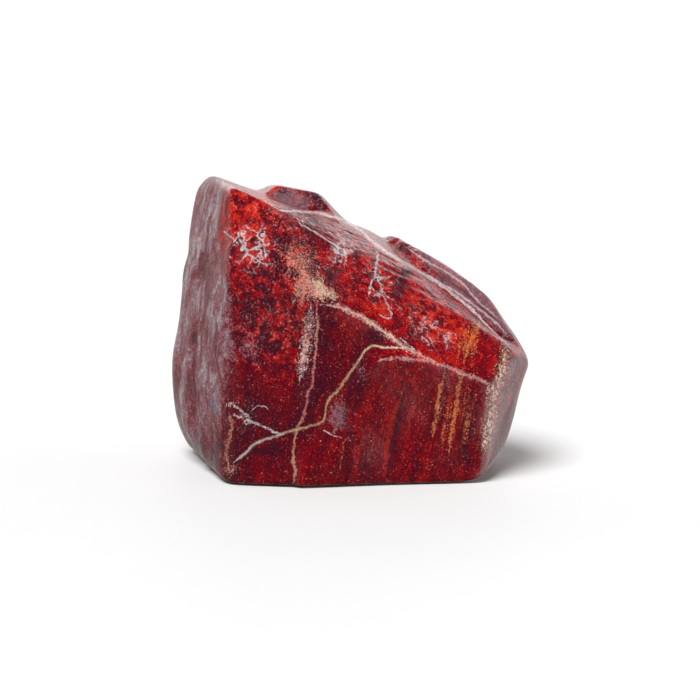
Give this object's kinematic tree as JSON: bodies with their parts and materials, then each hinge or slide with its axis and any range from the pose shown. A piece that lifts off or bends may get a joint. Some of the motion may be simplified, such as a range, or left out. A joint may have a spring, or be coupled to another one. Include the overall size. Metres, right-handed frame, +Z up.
{
  "type": "red jasper palm stone",
  "caption": "Tumbled and polished free-form piece of red jasper, with a slanted top, stepped front and flat base, that rests on a shelf or desk as a display or palm stone.",
  "frame": {"origin": "centre of the bounding box at the height of the flat base, where the stone meets what it rests on", "axes": "+X to the right of the stepped front face, +Y towards the back, +Z up"},
  "size_m": [0.0467, 0.0334, 0.0366],
  "materials": {
    "jasper": "polished"
  },
  "bodies": {
    "root": {"stone": "jasper"}
  },
  "joints": []
}
